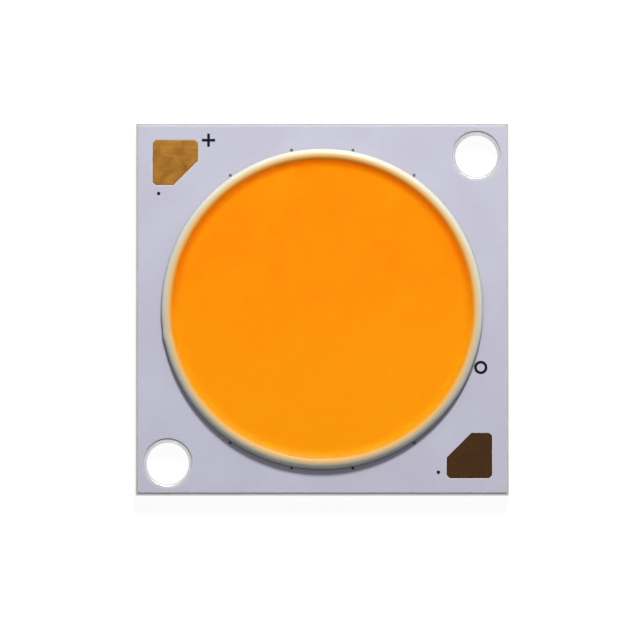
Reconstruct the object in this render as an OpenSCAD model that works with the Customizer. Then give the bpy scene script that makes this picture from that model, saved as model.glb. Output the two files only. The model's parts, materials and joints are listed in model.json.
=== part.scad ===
// Chip-on-board LED on a square aluminium-core board, all sizes in millimetres.
// Origin: centre of the board's back face. +Z is the way the light leaves, +Y is the plus mark's edge.

/* [Board] */
// Side of the square board
board_w = 28; // [27.5:0.5:34]
// Thickness of the aluminium base
base_t = 1.0; // [0.8:0.1:2]
// Thickness of the insulating laminate bonded on the base
laminate_t = 0.1; // [0.06:0.02:0.2]
// Thickness of the copper circuits
copper_t = 0.035; // [0.02:0.005:0.07]
// Thickness of the white mask above the copper
mask_cover = 0.025; // [0.015:0.005:0.04]
// Bare rim left between the mask and the board's edge
mask_rim = 0.15; // [0.05:0.05:0.4]

/* [Mounting holes] */
// Diameter of the two screw holes
hole_d = 3.2; // [2.7:0.1:3.5]
// Distance from a hole's centre to the two edges beside it
hole_inset = 2.4; // [2.3:0.1:2.8]
// Chamfer at the top of each hole in the base
hole_chamfer = 0.15; // [0.05:0.05:0.2]
// Bare ring left between a hole's chamfer and the mask
hole_relief = 0.1; // [0.05:0.05:0.15]

/* [Emitting area] */
// Distance from the light-emitting disc to the board's edges
les_margin = 2.65; // [2.4:0.05:4]
// Diameter of the round silicone bead that forms the dam
bead_d = 1.0; // [0.9:0.05:1.15]
// Height of the dam's crest above the mask
dam_h = 0.65; // [0.6:0.05:0.75]
// How far the crest lies outside the emitting disc's edge
crest_offset = 0.25; // [0.15:0.05:0.35]
// Drop from the gel's edge on the dam to its flat middle
gel_drop = 0.2; // [0.1:0.02:0.24]
// Width of the curved band where the gel climbs the dam
meniscus_w = 0.7; // [0.5:0.05:1.2]
// How far the laminate reaches inside the emitting disc's edge
window_inset = 0.75; // [0.65:0.05:1]
// How far the mask's window lies outside the emitting disc's edge
mask_window_offset = 0.2; // [0.1:0.05:0.3]

/* [Circuit] */
// Setback of the copper from the laminate's window
copper_setback = 0.1; // [0.05:0.05:0.15]
// How far the copper arcs reach past the dam
arc_overhang = 0.25; // [0.1:0.05:0.5]
// Half of the angle that each copper arc spans
arc_half_angle = 60; // [56:1:70]
// Width of the copper neck from an arc to its pad
neck_w = 1.6; // [0.8:0.1:2]

/* [Pads] */
// Side of each solder pad
pad_w = 3.4; // [3:0.1:3.8]
// Distance from a pad to the two board edges beside it
pad_inset = 1.25; // [0.8:0.05:1.4]
// Cut across the pad's corner that faces the emitting disc
pad_cut = 1.85; // [1.5:0.05:2.2]
// Small cut at the pad's other three corners
pad_corner = 0.22; // [0.1:0.02:0.3]
// Copper hidden under the mask round each pad
pad_overlap = 0.1; // [0.05:0.05:0.15]
// Thickness of the nickel and gold on each pad
plating_t = 0.01; // [0.005:0.001:0.012]

/* [Chips] */
// Number of series strings, side by side
string_count = 12; // [8:2:12]
// Number of chips in each string
chips_per_string = 12; // [8:1:12]
// Distance from the window's edge to the outer strings
string_margin = 2.15; // [2.1:0.05:2.6]
// Distance from the window's edge to the end chips' corners
chip_margin = 0.25; // [0.15:0.05:0.4]
// Side of a chip
chip_w = 0.65; // [0.5:0.05:0.7]
// Thickness of a chip
chip_t = 0.15; // [0.1:0.01:0.18]
// Thickness of the bonding adhesive under each chip
attach_t = 0.02; // [0.01:0.005:0.03]

/* [Bond wires] */
// Width and height of a wire
wire_t = 0.03; // [0.02:0.005:0.04]
// Rise of a wire's loop above the chips
loop_h = 0.12; // [0.08:0.01:0.14]
// Length of the flattened foot at each end of a wire
foot_l = 0.08; // [0.06:0.01:0.1]
// Distance from a chip's edge to the middle of its bond pad
bond_inset = 0.12; // [0.08:0.01:0.15]
// Sideways run of each rising leg of the loop
leg_run = 0.06; // [0.03:0.01:0.07]

/* [Printed marks] */
// Thickness of the ink
ink_t = 0.012; // [0.008:0.002:0.02]
// Length of each stroke of the plus
plus_w = 1.0; // [0.8:0.1:1.1]
// Width of the ink lines
ink_line = 0.2; // [0.14:0.02:0.24]
// Gap between the anode pad and the plus
plus_gap = 0.3; // [0.2:0.01:0.6]
// Outer diameter of the ring mark
ring_d = 1.0; // [0.8:0.1:1.1]
// Gap between the dam and the ring mark
ring_gap = 0.1; // [0.05:0.05:0.2]
// Direction of the ring mark from the board's middle, in degrees from +X
ring_angle = -20.3; // [-30:0.1:-15]
// Diameter of the index dots
dot_d = 0.26; // [0.2:0.02:0.3]
// Gap between a pad and its index dot
dot_gap = 0.63; // [0.4:0.01:0.8]
// Distance of an index dot from the pad's outer corner, along the pad's side
dot_shift = 0.45; // [0.2:0.05:1]
// Length of the ticks outside the dam
tick_l = 0.2; // [0.1:0.05:0.3]

/* [Hidden] */
$fn = 96;
eps = 0.5; // overshoot of the cutting tools

// Heights of the layers
laminate_z = base_t;
copper_z = laminate_z + laminate_t;
plating_z = copper_z + copper_t;
mask_top = plating_z + mask_cover;
chip_z = base_t + attach_t;
chip_top = chip_z + chip_t;

// Emitting area
les_r = board_w / 2 - les_margin; // radius of the light-emitting disc
bead_r = bead_d / 2;
dam_r = les_r + crest_offset; // radius of the crest line
dam_outer_r = dam_r + bead_r;
bead_z = mask_top + dam_h - bead_r; // height of the bead's centre line
gel_edge_z = bead_z + sqrt(bead_r * bead_r - crest_offset * crest_offset);
gel_flat_z = gel_edge_z - gel_drop;
meniscus_r = (meniscus_w * meniscus_w + gel_drop * gel_drop) / (2 * gel_drop);
window_r = les_r - window_inset;
mask_window_r = les_r + mask_window_offset;

// Copper
arc_inner_r = window_r + copper_setback;
arc_outer_r = dam_outer_r + arc_overhang;
bond_r = (arc_inner_r + dam_r - bead_r) / 2; // where the end wires meet the copper

// Holes
hole_pos = board_w / 2 - hole_inset;
laminate_hole_r = hole_d / 2 + hole_chamfer;
mask_hole_r = laminate_hole_r + hole_relief;

// Pads, with the anode at (-pad_pos, pad_pos) and the cathode opposite
pad_pos = board_w / 2 - pad_inset - pad_w / 2;
neck_reach = pad_pos * sqrt(2); // the necks end under the pads' centres

// Strings run along X, one above the other
string_pitch = 2 * (window_r - string_margin) / (string_count - 1);
string_numbers = [1 : string_count];
chip_reach = window_r - chip_margin;
tick_numbers = [2 : 3 : string_count]; // the ticks are as far from the middle as these strings

function string_y(n) = (n - 1 - (string_count - 1) / 2) * string_pitch;
function end_chip_x(y) = sqrt(chip_reach * chip_reach - pow(abs(y) + chip_w / 2, 2)) - chip_w / 2;
function chip_x(y, i) = end_chip_x(y) * (2 * i / (chips_per_string - 1) - 1);
function bond_x(y) = sqrt(bond_r * bond_r - y * y);
function two_digits(n) = n < 10 ? str("0", n) : str(n);
function chip_node(n) = str("chip_string_", two_digits(n));
function wire_node(n) = str("wire_string_", two_digits(n));

// The two screw holes are on the diagonal that the pads leave free.
module at_holes() {
    for (side = [-1, 1])
        translate([side * hole_pos, side * hole_pos, 0]) children();
}

module hole_cutter(r) {
    at_holes() translate([0, 0, -eps]) cylinder(r = r, h = mask_top + 2 * eps);
}

module square_slab(w, z, t) {
    translate([-w / 2, -w / 2, z]) cube([w, w, t]);
}

// A pad's outline round its own centre, as the anode has it. grow widens it on every side.
module pad_outline(grow) {
    h = pad_w / 2 + grow;
    c = pad_corner;
    k = pad_cut;
    polygon([
        [-h, -h + c], [-h + c, -h], [h - k, -h], [h, -h + k],
        [h, h - c], [h - c, h], [-h + c, h], [-h, h - c]
    ]);
}

module pad_slab(z, t, grow = 0) {
    translate([-pad_pos, pad_pos, z]) linear_extrude(height = t) pad_outline(grow);
}

// The cathode side is the anode side turned by half a turn.
module cathode_side() {
    rotate([0, 0, 180]) children();
}

module base_plate() {
    color("lightgray")
    difference() {
        square_slab(board_w, 0, base_t);
        hole_cutter(hole_d / 2);
        at_holes() translate([0, 0, base_t - hole_chamfer])
            cylinder(r1 = hole_d / 2, r2 = laminate_hole_r, h = hole_chamfer);
    }
}

module laminate() {
    color("wheat")
    difference() {
        square_slab(board_w, laminate_z, laminate_t);
        hole_cutter(laminate_hole_r);
        cylinder(r = window_r, h = laminate_z + laminate_t + eps);
    }
}

// An arc beside the emitting area, with a neck along the diagonal to the pad.
module circuit_shape() {
    translate([0, 0, copper_z])
        rotate([0, 0, 180 - arc_half_angle])
            rotate_extrude(angle = 2 * arc_half_angle)
                translate([arc_inner_r, 0]) square([arc_outer_r - arc_inner_r, copper_t]);
    rotate([0, 0, 135])
        translate([arc_outer_r - arc_overhang, -neck_w / 2, copper_z])
            cube([neck_reach - arc_outer_r + arc_overhang, neck_w, copper_t]);
    pad_slab(copper_z, copper_t, pad_overlap);
}

module anode_circuit() {
    color("peru") circuit_shape();
}

module cathode_circuit() {
    color("peru") cathode_side() circuit_shape();
}

// The mask fills round the copper and covers it, apart from the pads and the bonding ring.
module solder_mask() {
    color("lavender")
    difference() {
        square_slab(board_w - 2 * mask_rim, copper_z, mask_top - copper_z);
        hole_cutter(mask_hole_r);
        cylinder(r = mask_window_r, h = mask_top + eps);
        circuit_shape();
        cathode_side() circuit_shape();
        pad_slab(copper_z, mask_top - copper_z + eps);
        cathode_side() pad_slab(copper_z, mask_top - copper_z + eps);
    }
}

module anode_plating() {
    color("goldenrod") pad_slab(plating_z, plating_t);
}

module cathode_plating() {
    color("saddlebrown") cathode_side() pad_slab(plating_z, plating_t);
}

module plus_mark() {
    middle = [-pad_pos + pad_w / 2 + plus_gap + plus_w / 2, pad_pos + pad_w / 2, mask_top];
    color("black")
    translate(middle) union() {
        translate([-plus_w / 2, -ink_line / 2, 0]) cube([plus_w, ink_line, ink_t]);
        translate([-ink_line / 2, -plus_w / 2, 0]) cube([ink_line, plus_w, ink_t]);
    }
}

module ring_mark() {
    color("black")
    rotate([0, 0, ring_angle]) translate([dam_outer_r + ring_gap + ring_d / 2, 0, mask_top])
    difference() {
        cylinder(d = ring_d, h = ink_t);
        translate([0, 0, -eps]) cylinder(d = ring_d - 2 * ink_line, h = ink_t + 2 * eps);
    }
}

// One dot below the anode pad and one to the left of the cathode pad.
module index_dots() {
    beyond = pad_pos + pad_w / 2 - dot_shift;
    before = pad_pos - pad_w / 2 - dot_gap;
    color("black") {
        translate([-beyond, before, mask_top]) cylinder(d = dot_d, h = ink_t, $fn = 12);
        translate([before, -beyond, mask_top]) cylinder(d = dot_d, h = ink_t, $fn = 12);
    }
}

module dam_ticks() {
    color("black")
    for (end = [-1, 1], n = tick_numbers) {
        x = string_y(n);
        y = sqrt(dam_outer_r * dam_outer_r - pow(abs(x) - ink_line / 2, 2));
        translate([x - ink_line / 2, end * (y + tick_l / 2) - tick_l / 2, mask_top])
            cube([ink_line, tick_l, ink_t]);
    }
}

module bead_outline() {
    translate([dam_r, bead_z]) circle(r = bead_r);
}

// A round bead of silicone, wetting the laminate, the copper and the rim of the mask.
module dam() {
    color("ivory")
    difference() {
        rotate_extrude()
        difference() {
            bead_outline();
            translate([dam_r - bead_d, copper_z - bead_d]) square([2 * bead_d, bead_d]);
            translate([mask_window_r, copper_z - eps]) square([bead_d, mask_top - copper_z + eps]);
        }
        circuit_shape();
        cathode_side() circuit_shape();
    }
}

// Everything that the gel flows round: the chips with their adhesive, and the wires.
module string_parts(n) {
    chip_blocks(n, base_t, chip_top);
    wires(n);
}

// The gel fills the window and the ring inside the dam, and climbs the dam in a hollow curve.
module phosphor_gel() {
    flat_r = les_r - meniscus_w;
    color("orange")
    difference() {
        rotate_extrude()
        difference() {
            union() {
                translate([0, base_t]) square([window_r, laminate_t]);
                translate([0, copper_z]) square([dam_r, gel_edge_z - copper_z]);
            }
            bead_outline();
            translate([0, gel_flat_z]) square([flat_r, gel_drop + eps]);
            translate([flat_r, gel_flat_z + meniscus_r]) circle(r = meniscus_r);
        }
        circuit_shape();
        cathode_side() circuit_shape();
        for (n = string_numbers) string_parts(n);
    }
}

module chip_blocks(n, z, top) {
    y = string_y(n);
    for (i = [0 : chips_per_string - 1])
        translate([chip_x(y, i) - chip_w / 2, y - chip_w / 2, z]) cube([chip_w, chip_w, top - z]);
}

module die_attach() {
    color("whitesmoke") for (n = string_numbers) chip_blocks(n, base_t, chip_z);
}

module chip_string(n) {
    color("steelblue") chip_blocks(n, chip_z, chip_top);
}

// A looped wire seen from its side, from a foot at [xa, za] to a foot at [xb, zb].
module wire_outline(xa, za, xb, zb) {
    f = foot_l / 2;
    t = wire_t;
    s = leg_run;
    top = chip_top + loop_h;
    polygon([
        [xa - f, za], [xa + f, za], [xa + f + s, top], [xb - f - s, top], [xb - f, zb], [xb + f, zb],
        [xb + f, zb + t], [xb - f + t, zb + t], [xb - f - s + t, top + t],
        [xa + f + s - t, top + t], [xa + f - t, za + t], [xa - f, za + t]
    ]);
}

module wire(y, xa, za, xb, zb) {
    translate([0, y + wire_t / 2, 0]) rotate([90, 0, 0])
        linear_extrude(height = wire_t) wire_outline(xa, za, xb, zb);
}

// One wire between neighbouring chips, and one from each end chip to its copper arc.
module wires(n) {
    y = string_y(n);
    last = chips_per_string - 1;
    reach = chip_w / 2 - bond_inset;
    for (i = [1 : last])
        wire(y, chip_x(y, i - 1) + reach, chip_top, chip_x(y, i) - reach, chip_top);
    wire(y, -bond_x(y), plating_z, chip_x(y, 0) - reach, chip_top);
    wire(y, chip_x(y, last) + reach, chip_top, bond_x(y), plating_z);
}

module wire_string(n) {
    color("gold") wires(n);
}

base_plate();
laminate();
anode_circuit();
cathode_circuit();
solder_mask();
anode_plating();
cathode_plating();
plus_mark();
ring_mark();
index_dots();
dam_ticks();
dam();
phosphor_gel();
die_attach();
for (n = string_numbers) chip_string(n);
for (n = string_numbers) wire_string(n);
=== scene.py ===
import json
import math

import bmesh
import bpy
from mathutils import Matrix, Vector, noise
from mathutils.geometry import tessellate_polygon


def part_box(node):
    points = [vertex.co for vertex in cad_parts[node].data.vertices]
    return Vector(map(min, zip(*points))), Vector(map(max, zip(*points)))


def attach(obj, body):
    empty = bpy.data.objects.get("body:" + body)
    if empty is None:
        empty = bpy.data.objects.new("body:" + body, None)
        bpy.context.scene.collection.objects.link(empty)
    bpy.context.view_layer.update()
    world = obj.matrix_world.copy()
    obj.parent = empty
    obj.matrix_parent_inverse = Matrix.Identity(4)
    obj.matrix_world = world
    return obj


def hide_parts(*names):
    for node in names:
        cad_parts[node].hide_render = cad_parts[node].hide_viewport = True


mm = 0.001  # the frame is in metres, and the sizes below are in millimetres
noise.seed_set(4)  # without a seed, noise_vector starts from the clock

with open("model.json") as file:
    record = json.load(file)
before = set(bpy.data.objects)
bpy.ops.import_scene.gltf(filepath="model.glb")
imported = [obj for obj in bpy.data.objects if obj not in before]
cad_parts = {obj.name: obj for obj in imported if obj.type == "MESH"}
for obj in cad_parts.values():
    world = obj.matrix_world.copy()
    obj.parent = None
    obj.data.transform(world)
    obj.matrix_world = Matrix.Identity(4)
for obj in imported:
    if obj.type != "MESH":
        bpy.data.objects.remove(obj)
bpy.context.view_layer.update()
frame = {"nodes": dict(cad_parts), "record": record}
print("frame loaded:", len(frame["nodes"]), "solids")


def colour(code):
    parts = [int(code[i:i + 2], 16) / 255 for i in (0, 2, 4)]
    return tuple(c / 12.92 if c < 0.04045 else ((c + 0.055) / 1.055) ** 2.4 for c in parts) + (1.0,)


def put(tree, kind, values=None, **settings):
    # a new node, each of its inputs set to a value or linked to a socket
    made = tree.nodes.new(kind)
    for key, value in settings.items():
        setattr(made, key, value)
    for key, value in (values or {}).items():
        if isinstance(value, bpy.types.NodeSocket):
            tree.links.new(value, made.inputs[key])
        else:
            made.inputs[key].default_value = value
    return made


def calc(tree, operation, *values):
    return put(tree, "ShaderNodeMath", dict(enumerate(values)), operation=operation).outputs[0]


def vectorCalc(tree, operation, *values, out=0):
    return put(tree, "ShaderNodeVectorMath", dict(enumerate(values)), operation=operation).outputs[out]


def ramp(tree, value, low, high, start=0.0, end=1.0):
    values = {0: value, 1: low, 2: high, 3: start, 4: end}
    return put(tree, "ShaderNodeMapRange", values, interpolation_type="SMOOTHSTEP").outputs[0]


def blendColour(tree, amount, first, second):
    return put(tree, "ShaderNodeMix", {0: amount, 6: first, 7: second}, data_type="RGBA").outputs[2]


def noiseTexture(tree, vector, scale, detail, extra=None, out=0, **settings):
    values = {"Vector": vector, "Scale": scale, "Detail": detail, **(extra or {})}
    return put(tree, "ShaderNodeTexNoise", values, **settings).outputs[out]


def clearedTree(owner):
    owner.use_nodes = True
    owner.node_tree.nodes.clear()
    return owner.node_tree


def openTree(name, kind, inputs, outputs):
    # inputs and outputs are (name, socket type, starting value)
    tree = bpy.data.node_groups.new(name, kind)
    for title, socketType, value in inputs:
        socket = tree.interface.new_socket(name=title, in_out="INPUT", socket_type="NodeSocket" + socketType)
        if value is not None:
            socket.default_value = value
    for title, socketType in outputs:
        tree.interface.new_socket(name=title, in_out="OUTPUT", socket_type="NodeSocket" + socketType)
    return tree, tree.nodes.new("NodeGroupInput").outputs, tree.nodes.new("NodeGroupOutput").inputs


# Shader groups, shared by the finishes further down
toneAndHeight = [("Tone", "Float"), ("Height", "Float")]
maskOnly = [("Mask", "Float")]


def makeFineGrain():
    inputs = [("Vector", "Vector", None), ("Size", "Float", 0.0002), ("Contrast", "Float", 0.1)]
    tree, given, result = openTree("fineGrain", "ShaderNodeTree", inputs, toneAndHeight)
    scale = calc(tree, "DIVIDE", 1.0, given["Size"])
    speckle = noiseTexture(tree, given["Vector"], scale, 2.0, {"Roughness": 0.6})
    off = calc(tree, "SUBTRACT", speckle, 0.5)
    tree.links.new(calc(tree, "MULTIPLY_ADD", off, given["Contrast"], 1.0), result["Tone"])
    tree.links.new(speckle, result["Height"])
    return tree


def makeTintPatches():
    patchesFrom = 0.32  # the noise level where the tint starts to show
    patchesFull = 0.68
    inputs = [("Vector", "Vector", None), ("Size", "Float", 0.004), ("Clean", "Color", None),
              ("Tinted", "Color", None)]
    tree, given, result = openTree("tintPatches", "ShaderNodeTree", inputs, [("Colour", "Color")])
    scale = calc(tree, "DIVIDE", 1.0, given["Size"])
    cloud = noiseTexture(tree, given["Vector"], scale, 3.0, {"Distortion": 0.4})
    amount = ramp(tree, cloud, patchesFrom, patchesFull)
    tree.links.new(blendColour(tree, amount, given["Clean"], given["Tinted"]), result["Colour"])
    return tree


def makeRolledLines():
    inputs = [("Vector", "Vector", None), ("Length", "Float", 0.004), ("Width", "Float", 0.0001),
              ("Contrast", "Float", 0.2)]
    tree, given, result = openTree("rolledLines", "ShaderNodeTree", inputs, toneAndHeight)
    along = calc(tree, "DIVIDE", 1.0, given["Length"])
    across = calc(tree, "DIVIDE", 1.0, given["Width"])
    stretch = put(tree, "ShaderNodeCombineXYZ", {0: along, 1: across, 2: across}).outputs[0]
    drawn = vectorCalc(tree, "MULTIPLY", given["Vector"], stretch)
    lines = noiseTexture(tree, drawn, 1.0, 3.0, {"Roughness": 0.65})
    off = calc(tree, "SUBTRACT", lines, 0.5)
    tree.links.new(calc(tree, "MULTIPLY_ADD", off, given["Contrast"], 1.0), result["Tone"])
    tree.links.new(lines, result["Height"])
    return tree


def makeRubMarks():
    # broken hair lines, as a probe or a wipe leaves them on plating
    bendReach = 0.9 * mm
    patchRatio = 1.7  # how much finer the gaps are laid out than the lines
    inputs = [("Vector", "Vector", None), ("Spacing", "Float", 0.0008), ("Thickness", "Float", 0.06),
              ("Coverage", "Float", 0.5)]
    tree, given, result = openTree("rubMarks", "ShaderNodeTree", inputs, maskOnly)
    scale = calc(tree, "DIVIDE", 1.0, given["Spacing"])
    warp = noiseTexture(tree, given["Vector"], scale, 2.0, out=1)
    bent = vectorCalc(tree, "MULTIPLY_ADD", warp, (bendReach, bendReach, 0.0), given["Vector"])
    cells = put(tree, "ShaderNodeTexVoronoi", {"Vector": bent, "Scale": scale},
                feature="DISTANCE_TO_EDGE", voronoi_dimensions="2D").outputs[0]
    line = put(tree, "ShaderNodeMapRange",
               {0: cells, 1: 0.0, 2: given["Thickness"], 3: 1.0, 4: 0.0}).outputs[0]
    where = noiseTexture(tree, given["Vector"], calc(tree, "MULTIPLY", scale, patchRatio), 1.0)
    threshold = calc(tree, "SUBTRACT", 1.0, given["Coverage"])
    kept = calc(tree, "GREATER_THAN", where, threshold)
    tree.links.new(calc(tree, "MULTIPLY", line, kept), result["Mask"])
    return tree


def makeRimWearAndHighlight():
    # takes the rim attribute that the plates carry and frays it: a painted highlight on the mask's edges,
    # wear on the inks and platings
    rimFrom = 0.15
    inputs = [("Rim", "Float", 0.0), ("Vector", "Vector", None), ("Size", "Float", 0.0003),
              ("Amount", "Float", 0.5)]
    tree, given, result = openTree("rimWearAndHighlight", "ShaderNodeTree", inputs, maskOnly)
    scale = calc(tree, "DIVIDE", 1.0, given["Size"])
    fray = noiseTexture(tree, given["Vector"], scale, 2.0)
    frayedRim = calc(tree, "MULTIPLY", given["Rim"], calc(tree, "ADD", fray, 0.5))
    mask = ramp(tree, frayedRim, rimFrom, 1.0)
    tree.links.new(calc(tree, "MULTIPLY", mask, given["Amount"]), result["Mask"])
    return tree


fineGrain = makeFineGrain()
tintPatches = makeTintPatches()
rolledLines = makeRolledLines()
rubMarks = makeRubMarks()
rimWearAndHighlight = makeRimWearAndHighlight()
print("shader groups made")


noiseLow, noiseHigh = 0.2, 0.8  # most of a noise pattern's values lie between these


class Finish:
    # a material under way: its tree, its shader and the coordinates that its patterns read.
    # The looks below give lengths in millimetres

    def __init__(self, name, **constants):
        self.material = bpy.data.materials.new(name)
        self.tree = clearedTree(self.material)
        self.shader = put(self.tree, "ShaderNodeBsdfPrincipled")
        for title, value in constants.items():
            self.shader.inputs[title.replace("_", " ")].default_value = value
        put(self.tree, "ShaderNodeOutputMaterial", {0: self.shader.outputs[0]})
        self.place = put(self.tree, "ShaderNodeTexCoord").outputs["Object"]

    def group(self, kind, **values):
        made = put(self.tree, "ShaderNodeGroup", node_tree=kind)
        for title, value in {"Vector": self.place, **values}.items():
            if isinstance(value, bpy.types.NodeSocket):
                self.tree.links.new(value, made.inputs[title])
            else:
                made.inputs[title].default_value = value
        return made.outputs

    def feed(self, title, value):
        self.tree.links.new(value, self.shader.inputs[title])

    def patches(self, look):
        clean = colour(look["clean"])
        tinted = colour(look["tinted"])
        return self.group(tintPatches, Size=look["patch"] * mm, Clean=clean, Tinted=tinted)["Colour"]

    def grain(self, look):
        return self.group(fineGrain, Size=look["grain"] * mm, Contrast=look["contrast"])

    def lines(self, look, **place):
        return self.group(rolledLines, Length=look["lineLength"] * mm, Width=look["lineWidth"] * mm,
                          Contrast=look["contrast"], **place)

    def edgeWearAndHighlight(self, look):
        rim = put(self.tree, "ShaderNodeAttribute", attribute_name="rim").outputs["Fac"]
        return self.group(rimWearAndHighlight, Rim=rim, Size=look["rimFray"] * mm, Amount=look["rimAmount"])["Mask"]

    def axis(self, number):
        return put(self.tree, "ShaderNodeSeparateXYZ", {0: self.place}).outputs[number]

    def radius(self):
        flat = vectorCalc(self.tree, "MULTIPLY", self.place, (1.0, 1.0, 0.0))
        return vectorCalc(self.tree, "LENGTH", flat, out=1)

    def span(self, length, low, high, start=0.0, end=1.0):
        return ramp(self.tree, length, low * mm, high * mm, start, end)

    def blend(self, amount, first, second):
        return blendColour(self.tree, amount, first, second)

    def tone(self, base, pattern):
        values = {0: base, "Scale": pattern["Tone"]}
        self.feed("Base Color", put(self.tree, "ShaderNodeVectorMath", values, operation="SCALE").outputs[0])

    def gloss(self, pattern, look):
        self.feed("Roughness", ramp(self.tree, pattern["Height"], noiseLow, noiseHigh, *look["roughness"]))

    def bump(self, height, look):
        values = {"Height": height, "Distance": look["depth"] * mm, "Strength": 1.0}
        self.feed("Normal", put(self.tree, "ShaderNodeBump", values).outputs[0])

    def done(self, base, pattern, look):
        self.tone(base, pattern)
        self.bump(pattern["Height"], look)
        return self.material


# Coats with a rim colour: a lighter cream edge on the mask, a painted highlight, and a worn edge on the inks
maskLook = {"clean": "c2c2d2", "tinted": "bfbdcd", "rim": "cfcdc8", "patch": 5.0, "grain": 0.22,
            "contrast": 0.05, "rimFray": 0.4, "rimAmount": 0.6, "depth": 0.010}
inkPattern = {"patch": 0.25, "grain": 0.05, "contrast": 0.4, "rimFray": 0.08, "rimAmount": 0.55,
              "depth": 0.003}
inkLook = {"clean": "100f18", "tinted": "1d1c26", "rim": "1d1c26", **inkPattern}
faintInkLook = {"clean": "4c4b50", "tinted": "77767b", "rim": "77767b", **inkPattern}


def makeCoat(name, look, **constants):
    f = Finish(name, **constants)
    base = f.blend(f.edgeWearAndHighlight(look), f.patches(look), colour(look["rim"]))
    return f.done(base, f.grain(look), look)


# Plain grained stuff: the laminate and the adhesive under the chips
laminateLook = {"clean": "bfbfc2", "tinted": "b9b8b4", "patch": 1.4, "grain": 0.35, "contrast": 0.16,
                "depth": 0.01}
adhesiveLook = {"clean": "ebebe6", "tinted": "d9d8cf", "patch": 1.0, "grain": 0.08, "contrast": 0.12,
                "depth": 0.003}


def makeGrained(name, look, **constants):
    f = Finish(name, **constants)
    return f.done(f.patches(look), f.grain(look), look)


# Stuff with lines along X, or turned by so many degrees about Y
aluminiumLook = {"clean": "d9dbde", "tinted": "d3d5d9", "patch": 6.0, "lineLength": 12.0,
                 "lineWidth": 0.07, "contrast": 0.55, "roughness": (0.28, 0.5), "depth": 0.006}
# the board's sawn sides: rougher and darker than the face, and darker still as painted shade
sawnShadedLook = {"clean": "adaeb3", "tinted": "86878e", "patch": 0.7, "turn": 90, "lineLength": 1.1,
            "lineWidth": 0.06, "contrast": 0.9, "roughness": (0.4, 0.62), "depth": 0.02}
copperLook = {"clean": "c98d63", "tinted": "b87548", "patch": 1.2, "lineLength": 3.0,
              "lineWidth": 0.08, "contrast": 0.2, "roughness": (0.3, 0.45), "depth": 0.003}
chipLook = {"clean": "7896be", "tinted": "6a86b4", "patch": 0.5, "lineLength": 0.3,
            "lineWidth": 0.03, "contrast": 0.15, "depth": 0.001}
wireLook = {"clean": "e2b04a", "tinted": "d4a03c", "patch": 0.6, "lineLength": 0.4,
            "lineWidth": 0.008, "contrast": 0.15, "depth": 0.0005}


def makeLined(name, look, **constants):
    f = Finish(name, **constants)
    place = {}
    if "turn" in look:
        turn = (0.0, math.radians(look["turn"]), 0.0)
        place["Vector"] = put(f.tree, "ShaderNodeMapping", {"Vector": f.place, "Rotation": turn}).outputs[0]
    lines = f.lines(look, **place)
    if "roughness" in look:
        f.gloss(lines, look)
    return f.done(f.patches(look), lines, look)


platingPattern = {"patch": 0.9, "lineLength": 1.6, "lineWidth": 0.12, "contrast": 0.12,
                  "markSpacing": 0.75, "markWidth": 0.05, "markAmount": 0.5, "rimFray": 0.2,
                  "rimAmount": 0.7, "roughness": (0.3, 0.44), "depth": 0.002}
goldLook = {"clean": "a5722f", "tinted": "8e6025", "mark": "6e4a1d", "rim": "94642a", "coverage": 0.4,
            **platingPattern}
darkGoldLook = {"clean": "472f1b", "tinted": "422d1b", "mark": "3a2614", "rim": "2c1b10", "coverage": 0.3,
                **platingPattern}


def makePlating(name, look):
    f = Finish(name, Metallic=1.0)
    lines = f.lines(look)
    marks = f.group(rubMarks, Spacing=look["markSpacing"] * mm, Thickness=look["markWidth"],
                    Coverage=look["coverage"])["Mask"]
    faded = calc(f.tree, "MULTIPLY", marks, look["markAmount"])
    base = f.blend(faded, f.patches(look), colour(look["mark"]))
    f.tone(f.blend(f.edgeWearAndHighlight(look), base, colour(look["rim"])), lines)
    f.gloss(lines, look)
    f.bump(calc(f.tree, "SUBTRACT", lines["Height"], marks), look)
    return f.material


# The dam: orange on its inner side and cream on its crest, painted light bounced from the gel; white
# outside, and darker at its foot, painted shade
damLook = {"clean": "d3d6cc", "tinted": "cecfc4", "patch": 1.8, "bouncedOrange": "ec9a34", "bouncedOrangeTo": 11.34,
           "bouncedCream": "e2c083", "bouncedCreamAt": 11.6, "whiteFrom": 11.93, "foot": "7d6446", "footShadeFrom": 1.27,
           "footShadeTo": 1.61, "grain": 0.3, "contrast": 0.04, "depth": 0.008, "softDepth": 0.12}


def makeDamSilicone(look):
    f = Finish("damSilicone", Roughness=0.4, Specular_IOR_Level=0.25, Subsurface_Weight=0.15,
               Subsurface_Radius=(1.0, 0.75, 0.5), Subsurface_Scale=look["softDepth"] * mm)
    radius = f.radius()
    # the orange and cream near the gel are painted light bounced from the gel
    inner = f.span(radius, look["bouncedOrangeTo"], look["bouncedCreamAt"])
    outer = f.span(radius, look["bouncedCreamAt"], look["whiteFrom"])
    # darker brown towards the mask at the bead's foot: painted shade
    low = f.span(f.axis(2), look["footShadeFrom"], look["footShadeTo"], 1.0, 0.0)
    bouncedCream = f.blend(inner, colour(look["bouncedOrange"]), colour(look["bouncedCream"]))
    base = f.blend(outer, bouncedCream, f.patches(look))
    base = f.blend(low, base, colour(look["foot"]))
    return f.done(base, f.grain(look), look)


# The gel: yellower towards -Y, and a deeper orange along the dam on the +Y side, painted shade from the dam
gelLook = {"clean": "fd9302", "tinted": "fd9804", "patch": 3.5, "yellowSide": "fda106", "yellowSideFrom": 5.0,
           "yellowSideTo": -9.0, "rimShade": "f88203", "rimShadeFrom": 10.6, "rimShadeTo": 11.15, "rimShadeSideFrom": -3.0,
           "rimShadeSideTo": 5.0, "grain": 0.14, "contrast": 0.07, "depth": 0.007, "softDepth": 0.7,
           "glow": 0.12}


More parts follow.
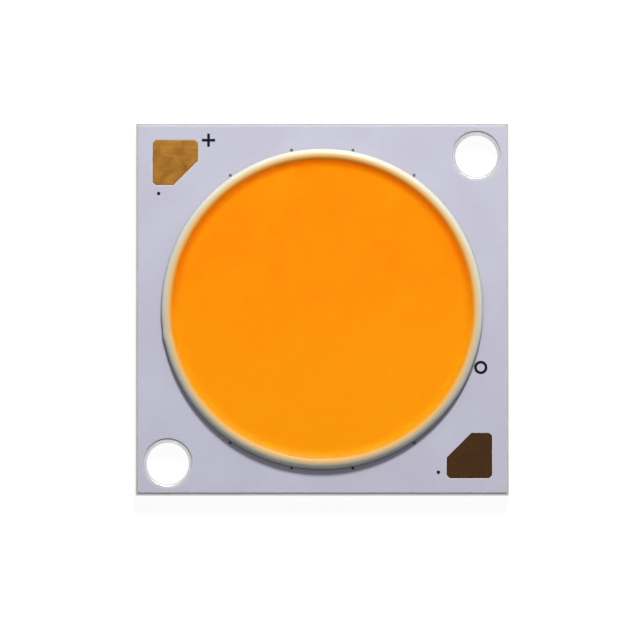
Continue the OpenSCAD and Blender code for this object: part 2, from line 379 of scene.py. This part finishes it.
def makePhosphorGel(look):
    # the orange emission is a painted glow, which keeps the gel's shaded parts bright orange
    f = Finish("phosphorGel", Roughness=0.42, Specular_IOR_Level=0.05, Subsurface_Weight=0.7,
               Subsurface_Radius=(1.0, 0.2, 0.04), Subsurface_Scale=look["softDepth"] * mm,
               Emission_Color=(1.0, 0.07, 0.0, 1.0), Emission_Strength=look["glow"])
    along = f.axis(1)
    # yellower towards -Y
    yellowSide = f.span(along, look["yellowSideFrom"], look["yellowSideTo"])
    base = f.blend(yellowSide, f.patches(look), colour(look["yellowSide"]))
    # a deeper orange along the dam on the +Y side: painted shade
    atDam = f.span(f.radius(), look["rimShadeFrom"], look["rimShadeTo"])
    rimShade = calc(f.tree, "MULTIPLY", atDam, f.span(along, look["rimShadeSideFrom"], look["rimShadeSideTo"]))
    base = f.blend(rimShade, base, colour(look["rimShade"]))
    return f.done(base, f.grain(look), look)


whiteMask = makeCoat("whiteMask", maskLook, Roughness=0.55, Specular_IOR_Level=0.25)
blackInk = makeCoat("blackInk", inkLook, Roughness=0.7, Specular_IOR_Level=0.06)
faintInk = makeCoat("faintInk", faintInkLook, Roughness=0.7, Specular_IOR_Level=0.06)
laminateResin = makeGrained("laminateResin", laminateLook, Roughness=0.6, Specular_IOR_Level=0.3)
bondingSilicone = makeGrained("bondingSilicone", adhesiveLook, Roughness=0.35, Specular_IOR_Level=0.4)
brushedAluminium = makeLined("brushedAluminium", aluminiumLook, Metallic=1.0)
sawnShadedAluminium = makeLined("sawnShadedAluminium", sawnShadedLook, Metallic=1.0)
copperFoil = makeLined("copperFoil", copperLook, Metallic=1.0)
chipCrystal = makeLined("chipCrystal", chipLook, Roughness=0.18, Specular_IOR_Level=0.8)
drawnGold = makeLined("drawnGold", wireLook, Metallic=1.0, Roughness=0.22)
goldPlating = makePlating("goldPlating", goldLook)
darkGoldPlating = makePlating("darkGoldPlating", darkGoldLook)
damSilicone = makeDamSilicone(damLook)
phosphorGel = makePhosphorGel(gelLook)
print("finishes made")

fraySize = 0.14  # mm from one bump of a printed or etched outline to the next
weldDistance = 1e-8


def polygonOutline(corners, radius, spacing=0.0, wobble=0.0):
    # gives the outline's points at an inset, always as many and in the same order
    corners = [Vector(c) for c in corners]
    arcSteps = 4

    def at(inset):
        arcs = []
        for i, corner in enumerate(corners):
            before = (corner - corners[i - 1]).normalized()
            after = (corners[(i + 1) % len(corners)] - corner).normalized()
            first = Vector((before.y, -before.x))
            last = Vector((after.y, -after.x))
            turn = math.atan2(first.cross(last), first.dot(last))
            side = math.copysign(1, turn)
            reach = (first + last) / (1 + first.dot(last))
            bend = max(radius - side * inset, 0.02 * radius)  # never quite sharp
            centre = corner - reach * (inset + side * bend)
            start = math.atan2(first.y, first.x)
            turns = [start + turn * k / arcSteps for k in range(arcSteps + 1)]
            arcs.append([centre + side * bend * Vector((math.cos(a), math.sin(a))) for a in turns])
        points = []
        for i, arc in enumerate(arcs):
            points += arc
            following = arcs[(i + 1) % len(arcs)][0]
            length = (corners[(i + 1) % len(corners)] - corners[i]).length
            pieces = max(1, round(length / spacing)) if spacing else 1
            points += [arc[-1].lerp(following, k / pieces) for k in range(1, pieces)]
        return [frayed(p, wobble) for p in points]
    return at


def circleOutline(x, y, radius, steps, hole=False, wobble=0.0):
    side = -1 if hole else 1

    def at(inset):
        angles = [side * 2 * math.pi * k / steps for k in range(steps)]
        reach = radius - side * inset
        points = [Vector((x + reach * math.cos(a), y + reach * math.sin(a))) for a in angles]
        return [frayed(p, wobble) for p in points]
    return at


def frayed(point, amount):
    if not amount:
        return point
    shift = noise.noise_vector(Vector((point.x, point.y, 0.0)) / (fraySize * mm))
    return point + Vector((shift.x, shift.y)) * amount


def edgeSection(low, high, rounding, band=0.0, steps=3):
    # the edge from the bottom face to the top one: a quarter round, a wall and a quarter round
    angles = [k / steps * math.pi / 2 for k in range(steps + 1)]
    lower = [(rounding * (1 - math.sin(a)), low + rounding * (1 - math.cos(a))) for a in angles]
    upper = [(inset, high + low - z) for inset, z in reversed(lower)]
    if band:
        return [(rounding + band, low)] + lower + upper + [(rounding + band, high)]
    return lower + upper


def addPlate(build, edges, banded=False):
    # edges pairs each outline, the outer one first, with its section
    rim = build.verts.layers.float.get("rim") or build.verts.layers.float.new("rim")
    bottoms, tops = [], []
    for number, (outline, section) in enumerate(edges):
        rings = []
        for level, (inset, z) in enumerate(section):
            ring = [build.verts.new((p.x, p.y, z)) for p in outline(inset)]
            inner = level in (0, len(section) - 1)
            for vert in ring:
                vert[rim] = 0.0 if banded and inner else 1.0
            rings.append(ring)
        for lower, upper in zip(rings, rings[1:]):
            for i in range(len(lower)):
                j = (i + 1) % len(lower)
                side = build.faces.new((lower[i], lower[j], upper[j], upper[i]))
                side.smooth = True
                side.material_index = 0 if number else 1  # a hole has the finish of the face
        bottoms.append(rings[0])
        tops.append(rings[-1])
    for rings in (bottoms, tops):
        flat = [vert for ring in rings for vert in ring]
        for triangle in tessellate_polygon([[vert.co for vert in ring] for ring in rings]):
            cap = build.faces.new([flat[i] for i in triangle])
            cap.smooth = False


def finishMesh(name, build, materials, slot, *nodes):
    bmesh.ops.remove_doubles(build, verts=build.verts, dist=weldDistance)
    bmesh.ops.recalc_face_normals(build, faces=build.faces)
    if build.calc_volume(signed=True) < 0:
        bmesh.ops.reverse_faces(build, faces=build.faces)
    mesh = bpy.data.meshes.new(name)
    build.to_mesh(mesh)
    build.free()
    return dress(name, mesh, materials, slot, *nodes)


def dress(name, mesh, materials, slot, *nodes):
    mesh.materials.clear()
    for material in materials:
        mesh.materials.append(material)
    piece = bpy.data.objects.new(name, mesh)
    bpy.context.scene.collection.objects.link(piece)
    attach(piece, "root")
    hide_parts(*nodes)
    print(name, len(mesh.vertices), "points")
    return piece


def centreOf(node):
    low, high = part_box(node)
    return (low + high) / 2


def square(side):
    h = side / 2
    return [(-h, -h), (h, -h), (h, h), (-h, h)]


# The board: aluminium base, laminate and white mask
boardSizes = {"cornerRadius": 0.08, "edgeRounding": 0.035, "holeChamfer": 0.15, "holeRelief": 0.1,
              "holeSteps": 96, "windowRadius": 10.6, "windowSteps": 192, "laminateRounding": 0.012,
              "maskWindow": 11.55, "maskWindowSteps": 256, "maskCorner": 0.12, "maskRounding": 0.016,
              "maskBand": 0.12}
screwHoles = next(m for m in frame["record"]["mounts"] if m["name"] == "screw_holes")["dims"]
holeRadius = screwHoles["hole_r_mm"] * mm
holeReach = screwHoles["pcd_mm"] * mm / 2 / math.sqrt(2)


def holesAt(radius, steps):
    return [circleOutline(s * holeReach, s * holeReach, radius, steps, hole=True) for s in (-1, 1)]


def makeBase(sizes):
    low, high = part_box("base_plate")
    rounding = sizes["edgeRounding"] * mm
    chamfer = sizes["holeChamfer"] * mm
    wall = edgeSection(low.z, high.z, rounding)
    bore = [(rounding, low.z), (0.0, low.z + rounding), (0.0, high.z - chamfer), (chamfer, high.z)]
    build = bmesh.new()
    edges = [(polygonOutline(square((high - low).x), sizes["cornerRadius"] * mm), wall)]
    edges += [(hole, bore) for hole in holesAt(holeRadius, sizes["holeSteps"])]
    addPlate(build, edges)
    return finishMesh("basePlate", build, [brushedAluminium, sawnShadedAluminium], "aluminium_base", "base_plate")


def makeLaminateSheet(sizes):
    low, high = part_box("laminate")
    section = edgeSection(low.z, high.z, sizes["laminateRounding"] * mm)
    build = bmesh.new()
    edges = [(polygonOutline(square((high - low).x), sizes["cornerRadius"] * mm), section)]
    reach = holeRadius + sizes["holeChamfer"] * mm
    edges += [(hole, section) for hole in holesAt(reach, sizes["holeSteps"])]
    window = circleOutline(0, 0, sizes["windowRadius"] * mm, sizes["windowSteps"], hole=True)
    edges.append((window, section))
    addPlate(build, edges)
    return finishMesh("laminateSheet", build, [laminateResin, laminateResin], "laminate_resin", "laminate")


padSizes = {"cut": 1.85, "corner": 0.22, "bend": 0.09, "outlineStep": 0.15, "wobble": 0.01,
            "rounding": 0.003, "rimBand": 0.16}


def padOutline(node, sizes, side, hole=False):
    # side is 1 for the anode, whose cut corner looks to +X and -Y, and -1 for the cathode
    low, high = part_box(node)
    centre = centreOf(node)
    h = (high - low).x / 2
    c = sizes["corner"] * mm
    k = sizes["cut"] * mm
    corners = [(-h, -h + c), (-h + c, -h), (h - k, -h), (h, -h + k),
               (h, h - c), (h - c, h), (-h + c, h), (-h, h - c)]
    placed = [(centre.x + side * x, centre.y + side * y) for x, y in corners]
    if hole:
        placed.reverse()
    return polygonOutline(placed, sizes["bend"] * mm, sizes["outlineStep"] * mm, sizes["wobble"] * mm)


def makeMask(sizes):
    low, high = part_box("solder_mask")
    section = edgeSection(low.z, high.z, sizes["maskRounding"] * mm, sizes["maskBand"] * mm)
    build = bmesh.new()
    edges = [(polygonOutline(square((high - low).x), sizes["maskCorner"] * mm), section)]
    reach = holeRadius + (sizes["holeChamfer"] + sizes["holeRelief"]) * mm
    edges += [(hole, section) for hole in holesAt(reach, sizes["holeSteps"])]
    window = circleOutline(0, 0, sizes["maskWindow"] * mm, sizes["maskWindowSteps"], hole=True)
    edges.append((window, section))
    for node, side in (("anode_plating", 1), ("cathode_plating", -1)):
        edges.append((padOutline(node, padSizes, side, hole=True), section))
    addPlate(build, edges, banded=True)
    return finishMesh("solderMask", build, [whiteMask, whiteMask], "white_mask", "solder_mask")


def makeThinPlates(name, node, plates, material, slot, sizes):
    # each plate is a list of outlines, the outer one first
    low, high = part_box(node)
    section = edgeSection(low.z, high.z, sizes["rounding"] * mm, sizes["rimBand"] * mm)
    build = bmesh.new()
    for outlines in plates:
        addPlate(build, [(outline, section) for outline in outlines], banded=True)
    return finishMesh(name, build, [material, material], slot, node)


def makePad(name, node, material, slot, side, sizes):
    return makeThinPlates(name, node, [[padOutline(node, sizes, side)]], material, slot, sizes)


makeBase(boardSizes)
makeLaminateSheet(boardSizes)
makeMask(boardSizes)
makePad("anodePad", "anode_plating", goldPlating, "gold_plating", 1, padSizes)
makePad("cathodePad", "cathode_plating", darkGoldPlating, "dark_gold_plating", -1, padSizes)

# The printed marks
markSizes = {"line": 0.2, "dot": 0.26, "rounding": 0.004, "rimBand": 0.03, "bend": 0.03, "wobble": 0.012,
             "outlineStep": 0.04, "ringSteps": 72, "dotSteps": 28, "tickLength": 0.2}


def makePlusMark(sizes):
    low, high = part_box("plus_mark")
    centre = centreOf("plus_mark")
    arm = (high - low).x / 2
    half = sizes["line"] * mm / 2
    corners = []
    for turn in range(4):
        a = turn * math.pi / 2
        for x, y in ((arm, -half), (arm, half), (half, half)):
            corners.append((centre.x + x * math.cos(a) - y * math.sin(a),
                            centre.y + x * math.sin(a) + y * math.cos(a)))
    outline = polygonOutline(corners, sizes["bend"] * mm, sizes["outlineStep"] * mm, sizes["wobble"] * mm)
    return makeThinPlates("plusMark", "plus_mark", [[outline]], blackInk, "black_ink", sizes)


def makeRingMark(sizes):
    low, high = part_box("ring_mark")
    centre = centreOf("ring_mark")
    outer = (high - low).y / 2
    inner = outer - sizes["line"] * mm
    ring = [circleOutline(centre.x, centre.y, radius, sizes["ringSteps"], hole, sizes["wobble"] * mm)
            for radius, hole in ((outer, False), (inner, True))]
    return makeThinPlates("ringMark", "ring_mark", [ring], blackInk, "black_ink", sizes)


def makeIndexDots(sizes):
    low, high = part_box("index_dots")
    r = sizes["dot"] * mm / 2
    dots = [[circleOutline(x, y, r, sizes["dotSteps"], wobble=sizes["wobble"] * mm)]
            for x, y in ((low.x + r, high.y - r), (high.x - r, low.y + r))]
    return makeThinPlates("indexDots", "index_dots", dots, blackInk, "black_ink", sizes)


def bakeTree(tree, values):
    # runs a Geometry Nodes tree on an empty mesh and keeps what it makes as a plain mesh
    host = bpy.data.objects.new(tree.name, bpy.data.meshes.new(tree.name))
    bpy.context.scene.collection.objects.link(host)
    modifier = host.modifiers.new(tree.name, "NODES")
    modifier.node_group = tree
    for item in tree.interface.items_tree:
        if item.in_out == "INPUT" and item.name in values:
            modifier[item.identifier] = values[item.name]
    evaluated = host.evaluated_get(bpy.context.evaluated_depsgraph_get())
    made = bpy.data.meshes.new_from_object(evaluated)
    host.modifiers.clear()
    bpy.data.objects.remove(host)
    return made


def makeTickTree():
    # a row of ticks along X, set against the ring and repeated on the other side
    ticksASide = 4
    cornerShare = 0.18  # of the width
    weld = 1e-7
    inputs = [("First", "Float", 0.0), ("Step", "Float", 0.0), ("Ring radius", "Float", 0.0),
              ("Height", "Float", 0.0), ("Width", "Float", 0.0), ("Length", "Float", 0.0),
              ("Thickness", "Float", 0.0), ("Material", "Material", None)]
    tree, given, result = openTree("damTicks", "GeometryNodeTree", inputs, [("Geometry", "Geometry")])
    start = put(tree, "ShaderNodeCombineXYZ", {0: given["First"]}).outputs[0]
    step = put(tree, "ShaderNodeCombineXYZ", {0: given["Step"]}).outputs[0]
    row = put(tree, "GeometryNodeMeshLine",
              {"Count": ticksASide, "Start Location": start, "Offset": step}).outputs[0]
    place = put(tree, "GeometryNodeInputPosition").outputs[0]
    x = put(tree, "ShaderNodeSeparateXYZ", {0: place}).outputs[0]
    half = calc(tree, "MULTIPLY", given["Width"], 0.5)
    near = calc(tree, "SUBTRACT", calc(tree, "ABSOLUTE", x), half)
    radiusSquared = calc(tree, "POWER", given["Ring radius"], 2.0)
    rise = calc(tree, "SUBTRACT", radiusSquared, calc(tree, "POWER", near, 2.0))
    y = calc(tree, "MULTIPLY_ADD", given["Length"], 0.5, calc(tree, "SQRT", rise))
    spot = put(tree, "ShaderNodeCombineXYZ", {0: x, 1: y, 2: given["Height"]}).outputs[0]
    upper = put(tree, "GeometryNodeSetPosition", {"Geometry": row, "Position": spot}).outputs[0]
    lower = put(tree, "GeometryNodeTransform",
                {"Geometry": upper, "Rotation": (0.0, 0.0, math.pi)}).outputs[0]
    both = put(tree, "GeometryNodeJoinGeometry", {0: upper})
    tree.links.new(lower, both.inputs[0])
    outline = put(tree, "GeometryNodeCurvePrimitiveQuadrilateral",
                  {"Width": given["Width"], "Height": given["Length"]}).outputs[0]
    bend = calc(tree, "MULTIPLY", given["Width"], cornerShare)
    soft = put(tree, "GeometryNodeFilletCurve",
               {"Curve": outline, "Count": 3, "Radius": bend}, mode="POLY").outputs[0]
    face = put(tree, "GeometryNodeFillCurve", {"Curve": soft}).outputs[0]
    lid = put(tree, "GeometryNodeExtrudeMesh",
              {"Mesh": face, "Offset": (0.0, 0.0, 1.0), "Offset Scale": given["Thickness"],
               "Individual": False})
    closed = put(tree, "GeometryNodeJoinGeometry", {0: lid.outputs[0]})
    tree.links.new(put(tree, "GeometryNodeFlipFaces", {0: face}).outputs[0], closed.inputs[0])
    solid = put(tree, "GeometryNodeMergeByDistance",
                {"Geometry": closed.outputs[0], "Distance": weld}).outputs[0]
    spread = put(tree, "GeometryNodeInstanceOnPoints",
                 {"Points": both.outputs[0], "Instance": solid}).outputs[0]
    real = put(tree, "GeometryNodeRealizeInstances", {0: spread}).outputs[0]
    done = put(tree, "GeometryNodeSetMaterial",
               {"Geometry": real, "Material": given["Material"]}).outputs[0]
    tree.links.new(done, result[0])
    return tree


def makeTicks(sizes):
    low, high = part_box("dam_ticks")
    first = centreOf("chip_string_02").y
    second = centreOf("chip_string_05").y
    values = {"First": first, "Step": second - first, "Ring radius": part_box("dam")[1].x,
              "Height": low.z, "Width": sizes["line"] * mm, "Length": sizes["tickLength"] * mm,
              "Thickness": (high - low).z, "Material": faintInk}
    return dress("damTicks", bakeTree(makeTickTree(), values), [faintInk], "black_ink", "dam_ticks")


makePlusMark(markSizes)
makeRingMark(markSizes)
makeIndexDots(markSizes)
makeTicks(markSizes)

# The dam: a bead of silicone laid round in one pass
damSizes = {"crestRadius": 11.6, "beadRadius": 0.5, "wobble": 0.018, "settle": 0.02, "lapAngle": 190,
            "lapWidth": 3.0, "lapBulge": 0.05, "ringSteps": 420, "beadSteps": 40, "seed": 4}


def makeBeadTree():
    # a round bead swept into a ring, which sways, sinks and swells at its lap, with a flat foot
    swayScale = 5.0
    sinkScale = 3.0
    sinkSeedShift = 7.0
    inputs = [("Ring radius", "Float", 0.0), ("Bead radius", "Float", 0.0), ("Centre height", "Float", 0.0),
              ("Inner foot", "Float", 0.0), ("Outer foot", "Float", 0.0), ("Foot step radius", "Float", 0.0),
              ("Wobble", "Float", 0.0), ("Settle", "Float", 0.0), ("Lap direction", "Vector", None),
              ("Lap cosine", "Float", 0.99), ("Lap bulge", "Float", 0.0), ("Ring steps", "Int", 100),
              ("Bead steps", "Int", 24), ("Seed", "Float", 0.0), ("Material", "Material", None)]
    tree, given, result = openTree("sweptBead", "GeometryNodeTree", inputs, [("Geometry", "Geometry")])
    path = put(tree, "GeometryNodeCurvePrimitiveCircle",
               {"Resolution": given["Ring steps"], "Radius": given["Ring radius"]}).outputs[0]
    profile = put(tree, "GeometryNodeCurvePrimitiveCircle",
                  {"Resolution": given["Bead steps"], "Radius": given["Bead radius"]}).outputs[0]
    swept = put(tree, "GeometryNodeCurveToMesh", {"Curve": path, "Profile Curve": profile}).outputs[0]
    place = put(tree, "GeometryNodeInputPosition").outputs[0]
    level = put(tree, "ShaderNodeSeparateXYZ", {0: place}).outputs[2]
    flat = vectorCalc(tree, "MULTIPLY", place, (1.0, 1.0, 0.0))
    way = vectorCalc(tree, "NORMALIZE", flat)
    radius = vectorCalc(tree, "LENGTH", flat, out=1)
    sinkSeed = calc(tree, "ADD", given["Seed"], sinkSeedShift)
    sway = noiseTexture(tree, way, swayScale, 2.0, {"W": given["Seed"]}, noise_dimensions="4D")
    sink = noiseTexture(tree, way, sinkScale, 1.0, {"W": sinkSeed}, noise_dimensions="4D")
    toLap = vectorCalc(tree, "DOT_PRODUCT", way, given["Lap direction"], out=1)
    lap = ramp(tree, toLap, given["Lap cosine"], 1.0)
    bulge = calc(tree, "MULTIPLY", lap, given["Lap bulge"])
    swing = calc(tree, "MULTIPLY", given["Wobble"], 2.0)
    side = calc(tree, "MULTIPLY", calc(tree, "SUBTRACT", sway, 0.5), swing)
    reach = calc(tree, "ADD", calc(tree, "ADD", radius, side), bulge)
    share = calc(tree, "DIVIDE", calc(tree, "MAXIMUM", level, 0.0), given["Bead radius"])
    sunk = calc(tree, "MULTIPLY", calc(tree, "ADD", sink, lap), given["Settle"])
    drop = calc(tree, "MULTIPLY", sunk, share)
    height = calc(tree, "SUBTRACT", calc(tree, "ADD", level, given["Centre height"]), drop)
    onMask = calc(tree, "GREATER_THAN", reach, given["Foot step radius"])
    stepUp = calc(tree, "SUBTRACT", given["Outer foot"], given["Inner foot"])
    foot = calc(tree, "MULTIPLY_ADD", onMask, stepUp, given["Inner foot"])
    flatReach = put(tree, "ShaderNodeCombineXYZ", {0: reach, 1: reach}).outputs[0]
    spot = vectorCalc(tree, "MULTIPLY", way, flatReach)
    lift = put(tree, "ShaderNodeCombineXYZ", {2: calc(tree, "MAXIMUM", height, foot)}).outputs[0]
    moved = put(tree, "GeometryNodeSetPosition",
                {"Geometry": swept, "Position": vectorCalc(tree, "ADD", spot, lift)}).outputs[0]
    smooth = put(tree, "GeometryNodeSetShadeSmooth", {"Geometry": moved}).outputs[0]
    real = put(tree, "GeometryNodeRealizeInstances", {0: smooth}).outputs[0]
    done = put(tree, "GeometryNodeSetMaterial",
               {"Geometry": real, "Material": given["Material"]}).outputs[0]
    tree.links.new(done, result[0])
    return tree


def makeDam(sizes):
    low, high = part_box("dam")
    lap = math.radians(sizes["lapAngle"])
    bead = sizes["beadRadius"] * mm
    values = {"Ring radius": sizes["crestRadius"] * mm, "Bead radius": bead, "Centre height": high.z - bead,
              "Inner foot": low.z, "Outer foot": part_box("solder_mask")[1].z,
              "Foot step radius": boardSizes["maskWindow"] * mm, "Wobble": sizes["wobble"] * mm,
              "Settle": sizes["settle"] * mm, "Lap direction": (math.cos(lap), math.sin(lap), 0.0),
              "Lap cosine": math.cos(math.radians(sizes["lapWidth"])),
              "Lap bulge": sizes["lapBulge"] * mm, "Ring steps": sizes["ringSteps"],
              "Bead steps": sizes["beadSteps"], "Seed": float(sizes["seed"]), "Material": damSilicone}
    build = bmesh.new()
    build.from_mesh(bakeTree(makeBeadTree(), values))
    return finishMesh("siliconeDam", build, [damSilicone], "white_silicone", "dam")


# The gel: level in the middle, climbing the dam in a hollow curve
gelSizes = {"edgeRadius": 11.35, "meniscusWidth": 0.7, "climb": 0.2, "overlap": 0.06, "ripple": 0.006,
            "rippleSize": 2.6, "rings": 26, "meniscusRings": 14, "steps": 288}


def makeGel(sizes):
    low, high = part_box("phosphor_gel")
    edge = sizes["edgeRadius"] * mm
    width = sizes["meniscusWidth"] * mm
    climb = sizes["climb"] * mm
    bend = (width * width + climb * climb) / (2 * climb)
    flatEnd = edge - width
    levelZ = high.z - climb
    profile = [(flatEnd * k / sizes["rings"], levelZ) for k in range(1, sizes["rings"] + 1)]
    for k in range(1, sizes["meniscusRings"] + 1):
        run = width * k / sizes["meniscusRings"]
        profile.append((flatEnd + run, levelZ + bend - math.sqrt(bend * bend - run * run)))
    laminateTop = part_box("laminate")[1].z
    tucked = edge + sizes["overlap"] * mm
    profile += [(tucked, high.z - sizes["overlap"] * mm), (tucked, laminateTop)]
    window = boardSizes["windowRadius"] * mm
    profile += [(window, laminateTop), (window, low.z), (window / 2, low.z)]
    build = bmesh.new()
    rings = []
    for r, z in profile:
        ring = []
        for k in range(sizes["steps"]):
            a = 2 * math.pi * k / sizes["steps"]
            spot = Vector((r * math.cos(a), r * math.sin(a), z))
            if z >= levelZ and r <= edge:
                calm = 1 - max(0.0, (r - flatEnd) / width)
                wave = noise.noise(Vector((spot.x, spot.y, 0.0)) / (sizes["rippleSize"] * mm))
                spot.z -= sizes["ripple"] * mm * calm * (0.5 + 0.5 * wave)
            ring.append(build.verts.new(spot))
        rings.append(ring)
    top = build.verts.new((0, 0, levelZ - sizes["ripple"] * mm / 2))
    bottom = build.verts.new((0, 0, low.z))
    for i in range(sizes["steps"]):
        j = (i + 1) % sizes["steps"]
        build.faces.new((top, rings[0][i], rings[0][j]))
        build.faces.new((bottom, rings[-1][j], rings[-1][i]))
        for inner, outer in zip(rings, rings[1:]):
            build.faces.new((inner[i], outer[i], outer[j], inner[j]))
    for face in build.faces:
        face.smooth = abs(face.normal.z) > 0.3 or face.calc_center_median().z > laminateTop
    return finishMesh("phosphorFill", build, [phosphorGel], "phosphor_silicone", "phosphor_gel")


makeDam(damSizes)
makeGel(gelSizes)

# The inner solids keep their CAD shape and take a finish
innerFinishes = {"anode_circuit": copperFoil, "cathode_circuit": copperFoil, "die_attach": bondingSilicone,
                 "chip_string": chipCrystal, "wire_string": drawnGold}
for nodeName, solid in frame["nodes"].items():
    for stem, finish in innerFinishes.items():
        if nodeName.startswith(stem):
            solid.data.materials.clear()
            solid.data.materials.append(finish)
print("pieces made")

# The studio: a pale floor, one soft lamp high on the plus mark's side, and a sky brighter on that side.
# Lengths are in metres, apart from the floor's gap and the camera's aim, which are in millimetres
studio = {"lampDistance": 0.25, "lampAzimuth": 82.5, "lampElevation": 40, "lampSize": 0.045,
          "lampPower": 0.70, "skyDim": 0.12, "skyBright": 0.42, "skyTint": "fbfbff", "floorSize": 0.9,
          "floorGap": 0.02, "floorTint": "e8e8ea", "floorGlow": 1.1, "floorShadow": 0.17}
cameraView = {"lens": 748.6, "distance": 1.0, "elevation": 85, "aimX": -0.166, "aimY": -0.83}
white = (1.0, 1.0, 1.0, 1.0)


def backgroundRays(tree):
    # 1 for rays that show the background, 0 for those that only light the part
    path = put(tree, "ShaderNodeLightPath").outputs
    seen = calc(tree, "MAXIMUM", path["Is Camera Ray"], path["Is Glossy Ray"])
    return calc(tree, "MAXIMUM", seen, path["Is Transmission Ray"])


def makeSky(settings):
    world = bpy.data.worlds.new("studioSky")
    tree = clearedTree(world)
    seen = backgroundRays(tree)
    way = put(tree, "ShaderNodeTexCoord").outputs["Generated"]
    towardLamp = put(tree, "ShaderNodeSeparateXYZ", {0: way}).outputs[1]
    level = ramp(tree, towardLamp, -1.0, 1.0, settings["skyDim"], settings["skyBright"])
    ambient = put(tree, "ShaderNodeBackground", {0: colour(settings["skyTint"]), 1: level})
    shown = put(tree, "ShaderNodeBackground", {0: white, 1: 1.0})
    mixed = put(tree, "ShaderNodeMixShader", {0: seen, 1: ambient.outputs[0], 2: shown.outputs[0]})
    put(tree, "ShaderNodeOutputWorld", {0: mixed.outputs[0]})
    bpy.context.scene.world = world


def makeFloor(settings):
    material = bpy.data.materials.new("paleFloor")
    tree = clearedTree(material)
    seen = backgroundRays(tree)
    plain = put(tree, "ShaderNodeBsdfDiffuse", {0: colour(settings["floorTint"])}).outputs[0]
    glow = put(tree, "ShaderNodeEmission", {0: white, 1: settings["floorGlow"]}).outputs[0]
    shaded = put(tree, "ShaderNodeBsdfDiffuse", {0: white}).outputs[0]
    shown = put(tree, "ShaderNodeMixShader", {0: settings["floorShadow"], 1: glow, 2: shaded}).outputs[0]
    upper = put(tree, "ShaderNodeMixShader", {0: seen, 1: plain, 2: shown}).outputs[0]
    under = put(tree, "ShaderNodeNewGeometry").outputs["Backfacing"]
    clear = put(tree, "ShaderNodeBsdfTransparent").outputs[0]
    both = put(tree, "ShaderNodeMixShader", {0: under, 1: upper, 2: clear}).outputs[0]
    put(tree, "ShaderNodeOutputMaterial", {0: both})
    h = settings["floorSize"] / 2
    z = -settings["floorGap"] * mm
    mesh = bpy.data.meshes.new("floor")
    mesh.from_pydata([(-h, -h, z), (h, -h, z), (h, h, z), (-h, h, z)], [], [(0, 1, 2, 3)])
    mesh.materials.append(material)
    floor = bpy.data.objects.new("floor", mesh)
    bpy.context.scene.collection.objects.link(floor)


def aimed(thing, location, target):
    thing.location = location
    thing.rotation_euler = (target - location).to_track_quat("-Z", "Y").to_euler()


def makeLamp(settings):
    light = bpy.data.lights.new("softLamp", "AREA")
    light.shape = "SQUARE"
    light.size = settings["lampSize"]
    light.energy = settings["lampPower"]
    lamp = bpy.data.objects.new("softLamp", light)
    bpy.context.scene.collection.objects.link(lamp)
    turn = math.radians(settings["lampAzimuth"])
    rise = math.radians(settings["lampElevation"])
    way = Vector((math.cos(rise) * math.cos(turn), math.cos(rise) * math.sin(turn), math.sin(rise)))
    aimed(lamp, way * settings["lampDistance"], Vector((0, 0, 0)))


def makeCamera(settings):
    view = bpy.data.cameras.new("overheadView")
    view.lens = settings["lens"]
    view.sensor_width = 36
    view.clip_start = 0.01
    view.clip_end = 5
    camera = bpy.data.objects.new("overheadView", view)
    bpy.context.scene.collection.objects.link(camera)
    rise = math.radians(settings["elevation"])
    target = Vector((settings["aimX"] * mm, settings["aimY"] * mm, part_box("solder_mask")[1].z))
    aimed(camera, target + Vector((0, -math.cos(rise), math.sin(rise))) * settings["distance"], target)
    bpy.context.scene.camera = camera


makeSky(studio)
makeFloor(studio)
makeLamp(studio)
makeCamera(cameraView)
bpy.context.scene.view_settings.view_transform = "Standard"
print("studio made")
